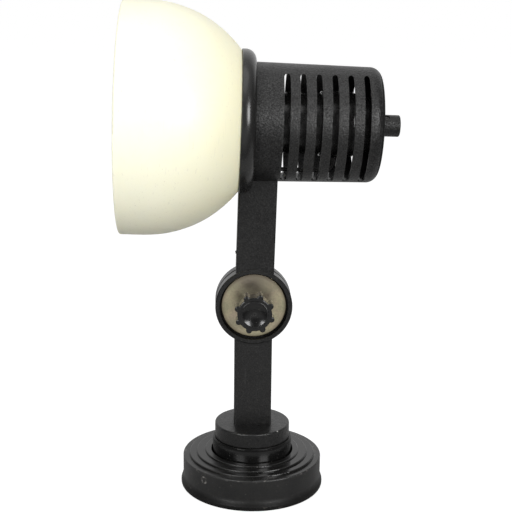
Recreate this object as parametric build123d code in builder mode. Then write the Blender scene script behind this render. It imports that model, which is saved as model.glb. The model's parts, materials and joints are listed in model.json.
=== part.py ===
from build123d import *

import os
from math import cos, radians, sin, sqrt

os.makedirs("parts", exist_ok=True)

# Adjustable spotlight: round base, swivelling drum, two flat arms with a clamped joint between
# them, and a lamp head with a slotted housing and an opal bowl shade.
# Millimetres, +Z up. The origin is the centre of the base, in the plane that meets the wall or
# table. The joint's axis is along Y and its knob faces -Y. The shade opens towards -X.

# ---------------------------------------------------------------- driving dimensions
wall = 2.2
plate_gap = 0.1          # between flat faces that turn on each other
lap_gap = 0.15           # from the mid-plane to each disc of the arm joint
thread_fit = 0.05        # radial clearance of shafts and threads that turn

# base
foot_radius = 37.9
canopy_radius = 36.8
foot_bead_height = 2.3
flare_top = 5.6
terraces = [(36.8, 16.5), (33.4, 17.6), (29.6, 18.5), (25.0, 19.3)]   # outer radius, height
well_radius = 21.6
ceiling_low = 14.0
ceiling_high = 15.6
ceiling_step = 31.5      # radius inside which the ceiling is higher, over the flange
neck_radius = 21.0
neck_wall = 2.5
neck_top = 26.8
flange_bottom = 8.0
flange_top = 10.2
flange_radius = 30.3
boss_circle = 26.0
boss_radius = 3.2
boss_count = 3
first_boss = 30          # degrees from +X
plate_radius = 34.2
plate_thickness = 1.5
wall_screw_x = 22.0
wall_slot = (9.0, 4.6)   # length, width
inlet_radius = 5.5
ear_angles = (60, 120)
ear_screw_z = 9.0
ear_face_radius = 33.9
ear_seat_radius = 35.8
stop_radius = 14.6       # inner end of the neck's stop rib
stop_bottom = 20.0
stop_width = 3.0

# swivel
drum_radius = 19.8
drum_top = 34.7
drum_roof_thickness = 2.5
nipple_radius = 4.0
nipple_bore = 2.6
nipple_top = 42.5
hub_radius = 8.0
dowel_x = 7.0
dowel_radius = 1.25
dowel_depth = 3.0
foot_block_top = 44.0

# arms and their joint
arm_width = 19.6
knuckle_z = 100.3
disc_radius = 19.9
disc_face = 8.25         # outer face of each disc from the mid-plane
lap_clearance_radius = 20.4
arm_near = 5.75          # arm face on the side of the other arm's disc
arm_far = 7.4            # arm face on the side of its own disc
arm_corner = 1.0
disc_chamfer = 0.5
channel_width = 13.2
pocket_width = 15.6
pocket_overlap = 1.2     # by which a cover reaches past the channel at each end
cover_thickness = 2.0
cover_post_radius = 2.6
cover_screw_radius = 1.1
cover_screw_spread = 7.0 # from the channel's middle to each screw
cup_radius = 17.7
cup_depth = 3.9
bolt_radius = 2.5
upper_lean = 1.35         # degrees, top of the upper arm towards +X at rest

# head, measured along its axis from the seam of shade and collar, + towards the back
seam_x = -10.05
head_height = 94.5
sleeve_radius = 26.5
sleeve_bore = 24.5
collar_radius = 36.0
collar_length = 7.3
collar_land = 1.9
housing_front_radius = 29.75
housing_back_radius = 28.75
housing_end = 69.7
housing_wall = 2.0
housing_round = 5.6
slot_count = 6
first_slot = 22.0
slot_pitch = 7.77
slot_width = 3.1
slot_top = 25.6
slot_bottom = -27.4
shade_length = 58.8
shade_wall = 2.0
shade_neck = 35.2
shade_profile = [(-7.0, 42.8), (-19.0, 51.3), (-34.0, 56.8)]
shade_rim = 58.2

# ---------------------------------------------------------------- planes and axes
knuckle = Plane(origin=(0, 0, knuckle_z), x_dir=(1, 0, 0), z_dir=(0, -1, 0))
lean = radians(upper_lean)
upper = Plane(origin=(0, 0, knuckle_z), x_dir=(cos(lean), 0, -sin(lean)), z_dir=(0, -1, 0))
head = Plane(
    origin=upper.from_local_coords((seam_x, head_height, 0)), x_dir=upper.x_dir, z_dir=upper.z_dir
)
head_axis = Axis(head.origin, head.x_dir)
lower_back = Plane(origin=(0, arm_far, knuckle_z), x_dir=(-1, 0, 0), z_dir=(0, 1, 0))
upper_back = Plane(origin=(0, arm_near, knuckle_z), x_dir=-upper.x_dir, z_dir=(0, 1, 0))


def across_head(s):
    """Plane square to the head's axis at distance s, with its normal towards the back."""
    origin = head.from_local_coords((s, 0, 0))
    return Plane(origin=origin, x_dir=(0, -1, 0), z_dir=head.x_dir)


def round_corner(sketch, x, y, radius):
    """Round the corner of a sketch that lies nearest to (x, y)."""
    fillet(sketch.vertices().sort_by_distance(Vertex(x, y, 0))[:1], radius)


top_down = (Align.CENTER, Align.CENTER, Align.MAX)
bottom_up = (Align.CENTER, Align.CENTER, Align.MIN)


def cross_recess(head_radius):
    """Cut a cross recess into the top of a screw head, at the current locations."""
    Box(head_radius * 1.1, head_radius * 0.28, 1.4, mode=Mode.SUBTRACT)
    Box(head_radius * 0.28, head_radius * 1.1, 1.4, mode=Mode.SUBTRACT)


# ================================================================ BASE
# Canopy: a round shell with a flared foot, a stepped top and a centre hole for the neck.
neck_screw_radius = 1.3
step_round = 0.5
with BuildPart() as base_canopy:
    with BuildSketch(Plane.XZ) as canopy_profile:
        with BuildLine():
            canopy_inside = canopy_radius - wall
            corners = [(canopy_inside, 0), (foot_radius, 0), (foot_radius, foot_bead_height)]
            corners += [(canopy_radius, flare_top), terraces[0]]
            for (_, below), (radius, height) in zip(terraces, terraces[1:]):
                corners += [(radius, below), (radius, height)]
            corners += [(well_radius, terraces[-1][1]), (well_radius, ceiling_high)]
            corners += [(ceiling_step, ceiling_high), (ceiling_step, ceiling_low)]
            corners += [(canopy_inside, ceiling_low)]
            Polyline(*corners, close=True)
        make_face()
        round_corner(canopy_profile, foot_radius, 0, 1.2)
        round_corner(canopy_profile, foot_radius, foot_bead_height, 0.9)
        round_corner(canopy_profile, canopy_radius, flare_top, 4.0)
        for radius, height in terraces:
            round_corner(canopy_profile, radius, height, step_round)
        round_corner(canopy_profile, well_radius, terraces[-1][1], step_round)
    revolve(axis=Axis.Z)
    with BuildSketch(Plane.XY.offset(flange_top)):
        with PolarLocations(boss_circle, boss_count, start_angle=first_boss):
            Circle(boss_radius)
            Circle(neck_screw_radius, mode=Mode.SUBTRACT)
    extrude(amount=ceiling_high - flange_top + 0.3)
    for angle in ear_angles:
        outward = Vector(1, 0, 0).rotate(Axis.Z, angle)
        seat = Plane(origin=outward * ear_seat_radius + Vector(0, 0, ear_screw_z), z_dir=outward)
        with BuildSketch(seat):
            Circle(3.0)
        extrude(amount=4, mode=Mode.SUBTRACT)
        with BuildSketch(seat):
            Circle(1.6)
        extrude(amount=-3, mode=Mode.SUBTRACT)
base_canopy.part.label = "base_canopy"
export_step(base_canopy.part, "parts/base_canopy.step")

# Neck: a flanged cup that stands up through the canopy and carries the swivel in its deck.
deck_bottom = neck_top - neck_wall
neck_inside = neck_radius - neck_wall
with BuildPart() as neck_ring:
    with BuildSketch(Plane.XZ) as neck_profile:
        with BuildLine():
            Polyline(
                (neck_inside, flange_bottom), (flange_radius, flange_bottom),
                (flange_radius, flange_top), (neck_radius, flange_top), (neck_radius, neck_top),
                (hub_radius + thread_fit, neck_top), (hub_radius + thread_fit, deck_bottom),
                (neck_inside, deck_bottom), close=True,
            )
        make_face()
        round_corner(neck_profile, neck_radius, neck_top, 0.5)
    revolve(axis=Axis.Z)
    with BuildSketch(Plane.XY.offset(flange_bottom)):
        with PolarLocations(boss_circle, boss_count, start_angle=first_boss):
            Circle(neck_screw_radius + 0.2)
    extrude(amount=flange_top - flange_bottom, mode=Mode.SUBTRACT)
    with BuildSketch(Plane.XY.offset(stop_bottom)):
        with Locations((-(neck_inside + stop_radius) / 2 - 0.2, 0)):
            Rectangle(neck_inside - stop_radius + 0.4, stop_width)
    extrude(amount=deck_bottom - stop_bottom)
neck_ring.part.label = "neck_ring"
export_step(neck_ring.part, "parts/neck_ring.step")

# Three screws hold the neck's flange to the canopy's bosses.
neck_screw_head = 2.7
pan_height = 1.6
with BuildPart(Plane.XY.offset(flange_bottom)) as neck_screws:
    with PolarLocations(boss_circle, boss_count, start_angle=first_boss):
        Cylinder(neck_screw_radius, 6.5, align=bottom_up)
        Cylinder(neck_screw_head, pan_height, align=top_down)
        with Locations((0, 0, -pan_height)):
            cross_recess(neck_screw_head)
neck_screws.part.label = "neck_screws"
export_step(neck_screws.part, "parts/neck_screws.step")

# Mounting plate: steel disc with two slots for wall screws, a cable hole and two bent-up ears.
with BuildPart() as mounting_plate:
    with BuildSketch(Plane.XY):
        Circle(plate_radius)
        Circle(inlet_radius, mode=Mode.SUBTRACT)
        with Locations((-wall_screw_x, 0), (wall_screw_x, 0)):
            SlotOverall(*wall_slot, mode=Mode.SUBTRACT)
    extrude(amount=plate_thickness)
    for angle in ear_angles:
        outward = Vector(1, 0, 0).rotate(Axis.Z, angle)
        tangent = outward.rotate(Axis.Z, 90)
        ear_face = Plane(origin=outward * ear_face_radius, x_dir=tangent, z_dir=outward)
        with BuildSketch(ear_face):
            with Locations((0, ear_screw_z / 2 + 2)):
                RectangleRounded(8.0, ear_screw_z + 4, 1.5)
            with Locations((0, ear_screw_z)):
                Circle(1.5, mode=Mode.SUBTRACT)
        extrude(amount=-plate_thickness)
mounting_plate.part.label = "mounting_plate"
export_step(mounting_plate.part, "parts/mounting_plate.step")

# Two screws in the back of the canopy hold it to the plate's ears.
canopy_screw_radius = 1.5
canopy_screw_head = 2.8
with BuildPart() as canopy_screws:
    for angle in ear_angles:
        outward = Vector(1, 0, 0).rotate(Axis.Z, angle)
        seat = Plane(origin=outward * ear_seat_radius + Vector(0, 0, ear_screw_z), z_dir=outward)
        with Locations(seat):
            Cylinder(canopy_screw_radius, 5.5, align=top_down)
            Cylinder(canopy_screw_head, 1.5, align=bottom_up)
            with Locations((0, 0, 1.5)):
                cross_recess(canopy_screw_head)
canopy_screws.part.label = "canopy_screws"
export_step(canopy_screws.part, "parts/canopy_screws.step")

# Terminal block for the supply, on the plate in front of the cable hole.
terminal_y = -11.0
terminal_height = 9.0
terminal_ways = [(-5, terminal_y), (5, terminal_y)]
terminal_screw_y = (-2, 2)   # from the middle of each way
terminal_well = 4.0
with BuildPart() as terminal_block:
    with BuildSketch(Plane.XY.offset(plate_thickness)):
        with Locations((0, terminal_y)):
            RectangleRounded(19, 8, 0.8)
    extrude(amount=terminal_height)
    with BuildSketch(Plane.XZ.offset(-terminal_y + 5)):
        with Locations(*[(x, plate_thickness + 3.4) for x, _ in terminal_ways]):
            Circle(1.7)
    extrude(amount=-10, mode=Mode.SUBTRACT)
    with BuildSketch(Plane.XY.offset(plate_thickness + terminal_height)):
        with Locations(*terminal_ways):
            with Locations(*[(0, y) for y in terminal_screw_y]):
                Circle(1.3)
    extrude(amount=-terminal_well, mode=Mode.SUBTRACT)
terminal_block.part.label = "terminal_block"
export_step(terminal_block.part, "parts/terminal_block.step")

well_bottom = Plane.XY.offset(plate_thickness + terminal_height - terminal_well)
with BuildPart(well_bottom) as terminal_screws:
    with Locations(*terminal_ways):
        with Locations(*[(0, y) for y in terminal_screw_y]):
            Cylinder(1.25, 2.6, align=bottom_up)
            with Locations((0, 0, 2.6)):
                Box(2.6, 0.5, 0.9, mode=Mode.SUBTRACT)
terminal_screws.part.label = "terminal_screws"
export_step(terminal_screws.part, "parts/terminal_screws.step")

# ================================================================ SWIVEL
# Drum: a shallow cap with a hub that turns in the neck's deck.
drum_bottom = neck_top + plate_gap
hub_bottom = deck_bottom - plate_gap
drum_roof = drum_top - drum_roof_thickness
hub_wall = 1.6
with BuildPart() as swivel_drum:
    with BuildSketch(Plane.XZ) as drum_profile:
        with BuildLine():
            Polyline(
                (nipple_radius, hub_bottom), (hub_radius, hub_bottom), (hub_radius, drum_bottom),
                (hub_radius + hub_wall, drum_bottom), (hub_radius + hub_wall, drum_roof),
                (drum_radius - wall, drum_roof), (drum_radius - wall, drum_bottom),
                (drum_radius, drum_bottom), (drum_radius, drum_top), (nipple_radius, drum_top),
                close=True,
            )
        make_face()
        round_corner(drum_profile, drum_radius, drum_top, 0.8)
        round_corner(drum_profile, drum_radius, drum_bottom, 0.4)
    revolve(axis=Axis.Z)
    with BuildSketch(Plane.XY.offset(drum_top)):
        with Locations((-dowel_x, 0), (dowel_x, 0)):
            Circle(dowel_radius)
    extrude(amount=-dowel_depth, mode=Mode.SUBTRACT)
swivel_drum.part.label = "swivel_drum"
export_step(swivel_drum.part, "parts/swivel_drum.step")

# Hollow threaded tube that ties arm, drum and nut together and carries the leads.
nipple_bottom = 17.5
with BuildPart() as swivel_nipple:
    with BuildSketch(Plane.XY.offset(nipple_bottom)):
        Circle(nipple_radius)
        Circle(nipple_bore, mode=Mode.SUBTRACT)
    extrude(amount=nipple_top - nipple_bottom)
    chamfer(swivel_nipple.edges().filter_by(GeomType.CIRCLE).group_by(Axis.Z)[0][:1], 0.4)
swivel_nipple.part.label = "swivel_nipple"
export_step(swivel_nipple.part, "parts/swivel_nipple.step")

# Washer under the deck. Its tab meets the rib in the neck and stops the swivel.
washer_radius = 13.0
washer_thickness = 1.2
washer_bottom = hub_bottom - washer_thickness
with BuildPart() as swivel_washer:
    with BuildSketch(Plane.XY.offset(washer_bottom)):
        Circle(washer_radius)
        with Locations((stop_radius, 0)):
            RectangleRounded(4.4, 4.0, 0.6)
        Circle(nipple_radius, mode=Mode.SUBTRACT)
    extrude(amount=washer_thickness)
swivel_washer.part.label = "swivel_washer"
export_step(swivel_washer.part, "parts/swivel_washer.step")

# Coned spring washer that sets the swivel's friction.
spring_bottom = washer_bottom - 1.4
spring_radius = 9.6
spring_gauge = 0.8
with BuildPart() as swivel_spring:
    with BuildSketch(Plane.XZ):
        with BuildLine():
            Polyline(
                (nipple_radius + 0.2, spring_bottom),
                (spring_radius, washer_bottom - spring_gauge), (spring_radius, washer_bottom),
                (nipple_radius + 0.2, spring_bottom + spring_gauge), close=True,
            )
        make_face()
    revolve(axis=Axis.Z)
swivel_spring.part.label = "swivel_spring"
export_step(swivel_spring.part, "parts/swivel_spring.step")

nut_flats = 13.0
nut_height = 3.0
with BuildPart() as swivel_nut:
    with BuildSketch(Plane.XY.offset(spring_bottom - nut_height)):
        RegularPolygon(nut_flats / 2, 6, major_radius=False)
        Circle(nipple_radius, mode=Mode.SUBTRACT)
    extrude(amount=nut_height)
swivel_nut.part.label = "swivel_nut"
export_step(swivel_nut.part, "parts/swivel_nut.step")

# Two dowels key the arm's foot to the drum.
with BuildPart(Plane.XY.offset(drum_top)) as foot_dowels:
    with Locations((-dowel_x, 0), (dowel_x, 0)):
        Cylinder(dowel_radius, 2 * dowel_depth)
foot_dowels.part.label = "foot_dowels"
export_step(foot_dowels.part, "parts/foot_dowels.step")

# ================================================================ LOWER ARM
# A channel open at the back, with a solid foot and a disc behind the joint's mid-plane.
arm_bottom = drum_top - knuckle_z            # in the knuckle plane's own coordinates
channel_top = -24.6
channel_bottom = foot_block_top - knuckle_z
lower_middle = (channel_top + channel_bottom) / 2
cover_screws_lower = [(0, lower_middle + side * cover_screw_spread) for side in (1, -1)]
channel_floor = arm_near - wall              # inner face of the arm's front wall
ring_groove = (9.5, 13.5)                    # radii of the lead's path round the bolt
groove_depth = 2.2
lead_slot_width = 5.0
bolt_seat = disc_face - 3.6
bolt_square = 5.1
washer_recess = 7.6
with BuildPart() as lower_arm:
    with BuildSketch(knuckle.offset(-disc_face)):
        Circle(disc_radius)
    extrude(amount=disc_face - lap_gap)
    chamfer(lower_arm.edges().filter_by(GeomType.CIRCLE), disc_chamfer)
    with BuildSketch(knuckle.offset(-arm_far)):
        with Locations((0, arm_bottom / 2)):
            Rectangle(arm_width, -arm_bottom)
    extrude(amount=arm_far - lap_gap)
    with BuildSketch(knuckle.offset(-lap_gap)):
        with Locations((0, arm_bottom / 2)):
            Rectangle(arm_width, -arm_bottom)
        Circle(lap_clearance_radius, mode=Mode.SUBTRACT)
    extrude(amount=arm_near + lap_gap)
    long_edges = lower_arm.edges().filter_by(Axis.Z)
    fillet(long_edges.group_by(Axis.Y)[0], arm_corner)
    fillet(lower_arm.edges().filter_by(Axis.Z).group_by(Axis.Y)[-1], arm_corner)
    # channel, with bosses for the cover's screws, and the pocket that the cover lies in
    with BuildSketch(lower_back):
        with Locations((0, lower_middle)):
            Rectangle(channel_width, channel_top - channel_bottom)
        with Locations(*cover_screws_lower):
            Circle(cover_post_radius, mode=Mode.SUBTRACT)
    extrude(amount=-(arm_far + channel_floor), mode=Mode.SUBTRACT)
    with BuildSketch(lower_back):
        with Locations((0, lower_middle)):
            pocket_length = channel_top - channel_bottom + 2 * pocket_overlap
            RectangleRounded(pocket_width, pocket_length, pocket_overlap)
    extrude(amount=-cover_thickness, mode=Mode.SUBTRACT)
    with BuildSketch(lower_back.offset(-cover_thickness)):
        with Locations(*cover_screws_lower):
            Circle(cover_screw_radius)
    extrude(amount=-6, mode=Mode.SUBTRACT)
    # foot: nipple thread, lead hole and dowel holes
    with BuildSketch(Plane.XY.offset(drum_top)):
        with Locations((-dowel_x, 0), (dowel_x, 0)):
            Circle(dowel_radius)
    extrude(amount=dowel_depth, mode=Mode.SUBTRACT)
    with BuildSketch(Plane.XY.offset(drum_top)):
        Circle(nipple_radius)
    extrude(amount=nipple_top - drum_top, mode=Mode.SUBTRACT)
    with BuildSketch(Plane.XY.offset(drum_top)):
        Circle(nipple_bore)
    extrude(amount=foot_block_top - drum_top + 0.5, mode=Mode.SUBTRACT)
    # joint face: washer recess, ring groove for the leads and the way down to the channel
    with BuildSketch(knuckle.offset(-lap_gap)):
        Circle(washer_recess)
    extrude(amount=-1.0, mode=Mode.SUBTRACT)
    with BuildSketch(knuckle.offset(-lap_gap)):
        Circle(ring_groove[1])
        Circle(ring_groove[0], mode=Mode.SUBTRACT)
        with Locations((0, (channel_top - ring_groove[0]) / 2 - 1)):
            Rectangle(lead_slot_width, -channel_top - ring_groove[0])
    extrude(amount=-groove_depth, mode=Mode.SUBTRACT)
    # bolt: round hole, square neck and a seat for its head
    with BuildSketch(knuckle):
        Circle(bolt_radius + thread_fit)
    extrude(amount=-disc_face, mode=Mode.SUBTRACT)
    with BuildSketch(knuckle.offset(-2.6)):
        Rectangle(bolt_square + 0.1, bolt_square + 0.1)
    extrude(amount=-disc_face, mode=Mode.SUBTRACT)
    with BuildSketch(knuckle.offset(-bolt_seat)):
        Circle(6.2)
    extrude(amount=-disc_face, mode=Mode.SUBTRACT)
lower_arm.part.label = "lower_arm"
export_step(lower_arm.part, "parts/lower_arm.step")


def arm_cover(back, top, bottom, screw_places):
    """Plate that closes an arm's channel, flush with its back, with countersunk holes."""
    with BuildPart() as cover:
        with BuildSketch(back):
            with Locations((0, (top + bottom) / 2)):
                length = top - bottom + 2 * pocket_overlap - 0.2
                RectangleRounded(pocket_width - 0.2, length, pocket_overlap - 0.1)
        extrude(amount=-cover_thickness)
        with Locations(back):
            with Locations(*screw_places):
                CounterSinkHole(1.2, 2.4, depth=cover_thickness)
    return cover


countersunk_radius = 2.3


def countersunk_screws(back, screw_places, length):
    """Countersunk screws, flush with a back plane."""
    with BuildPart() as screws:
        with Locations(back):
            with Locations(*screw_places):
                Cylinder(cover_screw_radius, length, align=top_down)
                Cone(cover_screw_radius, countersunk_radius, 1.2, align=top_down)
                cross_recess(countersunk_radius)
    return screws


lower_arm_cover = arm_cover(lower_back, channel_top, channel_bottom, cover_screws_lower)
lower_arm_cover.part.label = "lower_arm_cover"
export_step(lower_arm_cover.part, "parts/lower_arm_cover.step")

lower_cover_screws = countersunk_screws(lower_back, cover_screws_lower, 7.5)
lower_cover_screws.part.label = "lower_cover_screws"
export_step(lower_cover_screws.part, "parts/lower_cover_screws.step")


lead_radius = 0.9
lead_spread = 1.1        # from the pair's middle plane to each lead


def lead_pair(plane, points, bend):
    """Two round leads side by side that follow a filleted route drawn in a plane."""
    with BuildPart() as leads:
        for side in (-1, 1):
            with BuildLine(plane.offset(side * lead_spread)):
                route = FilletPolyline(*points, radius=bend)
            with BuildSketch(Plane(origin=route @ 0, z_dir=route % 0)):
                Circle(lead_radius)
            sweep(path=route)
    return leads


lower_leads = lead_pair(
    knuckle, [(0, 20 - knuckle_z), (0, -57), (4.6, -50), (4.6, channel_top - 1)], 5
)
lower_leads.part.label = "lower_leads"
export_step(lower_leads.part, "parts/lower_leads.step")

# Bolt of the joint: domed head and square neck in the lower arm's disc, shaft towards the knob.
bolt_end = 13.0
with BuildPart() as knuckle_bolt:
    with BuildSketch(knuckle.offset(bolt_end)):
        Circle(bolt_radius)
    extrude(amount=-(bolt_end + bolt_seat))
    chamfer(knuckle_bolt.edges().filter_by(GeomType.CIRCLE).group_by(Axis.Y)[0], 0.5)
    with BuildSketch(knuckle.offset(-2.7)):
        Rectangle(bolt_square, bolt_square)
    extrude(amount=-(bolt_seat - 2.7))
    with BuildSketch(knuckle.offset(-bolt_seat)):
        Circle(5.8)
    extrude(amount=-2.8)
    fillet(knuckle_bolt.edges().filter_by(GeomType.CIRCLE).group_by(Axis.Y)[-1], 2.0)
knuckle_bolt.part.label = "knuckle_bolt"
export_step(knuckle_bolt.part, "parts/knuckle_bolt.step")

# Fibre washer between the discs.
with BuildPart() as friction_washer:
    with BuildSketch(knuckle.offset(lap_gap - plate_gap)):
        Circle(washer_recess - 0.2)
        Circle(bolt_radius, mode=Mode.SUBTRACT)
    extrude(amount=-(2 * lap_gap + 1.0 - plate_gap))
friction_washer.part.label = "friction_washer"
export_step(friction_washer.part, "parts/friction_washer.step")

# ================================================================ CLAMP
# Round steel plate that the knob presses into the cup.
cup_floor = disc_face - cup_depth
plate_back = cup_floor + plate_gap
plate_front = plate_back + 1.2
with BuildPart() as pressure_plate:
    with BuildSketch(knuckle.offset(plate_back)):
        Circle(cup_radius - 0.5)
        Circle(bolt_radius + thread_fit, mode=Mode.SUBTRACT)
    extrude(amount=plate_front - plate_back)
    fillet(pressure_plate.edges().filter_by(GeomType.CIRCLE).group_by(Axis.Y)[0].sort_by(
        SortBy.RADIUS)[-1], 0.9)
pressure_plate.part.label = "pressure_plate"
export_step(pressure_plate.part, "parts/pressure_plate.step")

# Star knob: a stem, a skirt of eight round lobes and a low round face with a dished front.
knob_back = plate_front + plate_gap
lobes_back = 14.7
lobes_front = 21.7
lobe_count = 8
lobe_radius = 1.5
knob_valley = 8.8
knob_peak = 10.5
lobe_phase = 27
face_radius = 7.1
face_height = 0.6
dish_radius = 6.3
dish_curve = 15.0
dish_centre = lobes_front + face_height + sqrt(dish_curve**2 - dish_radius**2)
stem_radius = 6.0
insert_radius = 4.2
insert_front = lobes_back - 0.3
with BuildPart() as star_knob:
    with BuildSketch(knuckle.offset(knob_back)):
        Circle(stem_radius)
    extrude(amount=lobes_back - knob_back)
    with BuildSketch(knuckle.offset(lobes_back)) as star:
        Circle(knob_valley)
        with PolarLocations(knob_peak - lobe_radius, lobe_count, start_angle=lobe_phase):
            Circle(lobe_radius)
        fillet(star.vertices(), 0.6)
    extrude(amount=lobes_front - lobes_back)
    fillet(star_knob.edges().group_by(Axis.Y)[0], 0.6)
    with BuildSketch(knuckle.offset(lobes_front)):
        Circle(face_radius)
    extrude(amount=face_height)
    with Locations(knuckle.offset(dish_centre)):
        Sphere(dish_curve, mode=Mode.SUBTRACT)
    fillet(star_knob.edges().group_by(Axis.Y)[0], 0.3)
    with BuildSketch(knuckle.offset(knob_back)):
        Circle(insert_radius)
    extrude(amount=insert_front - knob_back, mode=Mode.SUBTRACT)
star_knob.part.label = "star_knob"
export_step(star_knob.part, "parts/star_knob.step")

# Brass thread insert moulded into the knob.
with BuildPart() as knob_insert:
    with BuildSketch(knuckle.offset(knob_back + 0.3)):
        Circle(insert_radius)
        Circle(bolt_radius + thread_fit, mode=Mode.SUBTRACT)
    extrude(amount=insert_front - knob_back - 0.3)
knob_insert.part.label = "knob_insert"
export_step(knob_insert.part, "parts/knob_insert.step")

# ================================================================ UPPER ARM
# The same channel the other way up, with a cupped disc in front of the joint's mid-plane.
# Its top is cut to sit under the collar and the housing.
channel_start = 24.6
channel_end = 54.0
lead_hole = (15.2, -0.8)                         # distance along the head, y
lead_hole_radius = 2.2
head_screw_places = [(12.3, -4.4), (12.3, 2.8)]  # distance along the head, y
head_screw_radius = 1.3
upper_middle = (channel_start + channel_end) / 2
cover_screws_upper = [(0, upper_middle + side * cover_screw_spread) for side in (1, -1)]


# Outside of the collar and the front of the housing, which the arm's top is cut to.
collar_round = collar_length - collar_land
with BuildSketch(head) as head_outline:
    with BuildLine():
        Line((-0.1, 0), (-0.1, collar_radius))
        Line((-0.1, collar_radius), (collar_land, collar_radius))
        CenterArc((collar_land, collar_radius - collar_round), collar_round, 0, 90)
        Polyline(
            (collar_length, collar_radius - collar_round), (collar_length, housing_front_radius),
            (housing_end, housing_back_radius), (housing_end, 0), (-0.1, 0),
        )
    make_face()

with BuildPart() as upper_arm:
    with BuildSketch(upper.offset(lap_gap)):
        Circle(disc_radius)
    extrude(amount=disc_face - lap_gap)
    chamfer(upper_arm.edges().filter_by(GeomType.CIRCLE), disc_chamfer)
    with BuildSketch(upper.offset(lap_gap)):
        with Locations((0, head_height / 2)):
            Rectangle(arm_width, head_height)
    extrude(amount=arm_far - lap_gap)
    with BuildSketch(upper.offset(-arm_near)):
        with Locations((0, head_height / 2)):
            Rectangle(arm_width, head_height)
        Circle(lap_clearance_radius, mode=Mode.SUBTRACT)
    extrude(amount=arm_near + lap_gap)
    along = Axis(upper.origin, upper.y_dir)
    fillet(upper_arm.edges().filter_by(along).group_by(Axis.Y)[0], arm_corner)
    fillet(upper_arm.edges().filter_by(along).group_by(Axis.Y)[-1], arm_corner)
    revolve(head_outline.sketch, axis=head_axis, mode=Mode.SUBTRACT)
    # channel, bosses and cover pocket
    with BuildSketch(upper_back):
        with Locations((0, upper_middle)):
            Rectangle(channel_width, channel_end - channel_start)
        with Locations(*cover_screws_upper):
            Circle(cover_post_radius, mode=Mode.SUBTRACT)
    extrude(amount=-(arm_near + arm_far - wall), mode=Mode.SUBTRACT)
    with BuildSketch(upper_back):
        with Locations((0, upper_middle)):
            pocket_length = channel_end - channel_start + 2 * pocket_overlap
            RectangleRounded(pocket_width, pocket_length, pocket_overlap)
    extrude(amount=-cover_thickness, mode=Mode.SUBTRACT)
    with BuildSketch(upper_back.offset(-cover_thickness)):
        with Locations(*cover_screws_upper):
            Circle(cover_screw_radius)
    extrude(amount=-6, mode=Mode.SUBTRACT)
    # cup for the pressure plate, bolt hole and the leads' way up to the channel
    with BuildSketch(upper.offset(cup_floor)):
        Circle(cup_radius)
    extrude(amount=disc_face, mode=Mode.SUBTRACT)
    with BuildSketch(upper):
        Circle(bolt_radius + 0.08)
    extrude(amount=disc_face, mode=Mode.SUBTRACT)
    with BuildSketch(upper.offset(lap_gap)):
        with Locations((0, (channel_start + ring_groove[0]) / 2 + 1)):
            Rectangle(lead_slot_width, channel_start - ring_groove[0])
    extrude(amount=groove_depth, mode=Mode.SUBTRACT)
    # lead hole and screw holes up into the housing
    saddle = Plane(origin=head.origin, x_dir=head.x_dir, z_dir=-upper.y_dir)
    with BuildSketch(saddle.offset(head_height - channel_end + 1)):
        with Locations((lead_hole[0], -lead_hole[1])):
            Circle(lead_hole_radius)
    extrude(amount=-20, mode=Mode.SUBTRACT)
    with BuildSketch(saddle.offset(head_height - channel_end - 2)):
        with Locations(*[(s, -y) for s, y in head_screw_places]):
            Circle(head_screw_radius)
    extrude(amount=-20, mode=Mode.SUBTRACT)
upper_arm.part.label = "upper_arm"
export_step(upper_arm.part, "parts/upper_arm.step")

upper_arm_cover = arm_cover(upper_back, channel_end, channel_start, cover_screws_upper)
upper_arm_cover.part.label = "upper_arm_cover"
export_step(upper_arm_cover.part, "parts/upper_arm_cover.step")

upper_cover_screws = countersunk_screws(upper_back, cover_screws_upper, 7.5)
upper_cover_screws.part.label = "upper_cover_screws"
export_step(upper_cover_screws.part, "parts/upper_cover_screws.step")

# ================================================================ HEAD
# Housing: slotted tube with a closed back and a sleeve in front that carries collar and shade.
inner_front = housing_front_radius - housing_wall
inner_back = housing_back_radius - housing_wall
back_inside = housing_end - 2.2
sleeve_front = -8.0
shoulder = collar_length + 2.2
switch_screw_places = [(0, 8.5), (0, -8.5)]
with BuildPart() as lamp_housing:
    with BuildSketch(head) as housing_profile:
        with BuildLine():
            Polyline(
                (sleeve_front, sleeve_bore), (sleeve_front, sleeve_radius),
                (collar_length, sleeve_radius), (collar_length, housing_front_radius),
                (housing_end, housing_back_radius), (housing_end, 3.0), (back_inside, 3.0),
                (back_inside, inner_back), (shoulder, inner_front), (shoulder, sleeve_bore),
                close=True,
            )
        make_face()
        round_corner(housing_profile, housing_end, housing_back_radius, housing_round)
        round_corner(housing_profile, back_inside, inner_back, housing_round - housing_wall)
    revolve(axis=head_axis)
    with BuildSketch(head):
        slot_mid = (slot_top + slot_bottom) / 2
        with Locations(*[(first_slot + i * slot_pitch, slot_mid) for i in range(slot_count)]):
            SlotOverall(slot_top - slot_bottom, slot_width, rotation=90)
    extrude(amount=40, both=True, mode=Mode.SUBTRACT)
    with BuildSketch(saddle.offset(housing_front_radius + 1)):
        with Locations((lead_hole[0], -lead_hole[1])):
            Circle(lead_hole_radius)
    extrude(amount=-8, mode=Mode.SUBTRACT)
    with BuildSketch(saddle.offset(housing_front_radius + 1)):
        with Locations(*[(s, -y) for s, y in head_screw_places]):
            Circle(head_screw_radius + 0.1)
    extrude(amount=-8, mode=Mode.SUBTRACT)
    with Locations(across_head(housing_end)):
        with Locations(*switch_screw_places):
            CounterSinkHole(1.2, 2.4, depth=4)
lamp_housing.part.label = "lamp_housing"
export_step(lamp_housing.part, "parts/lamp_housing.step")

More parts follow.
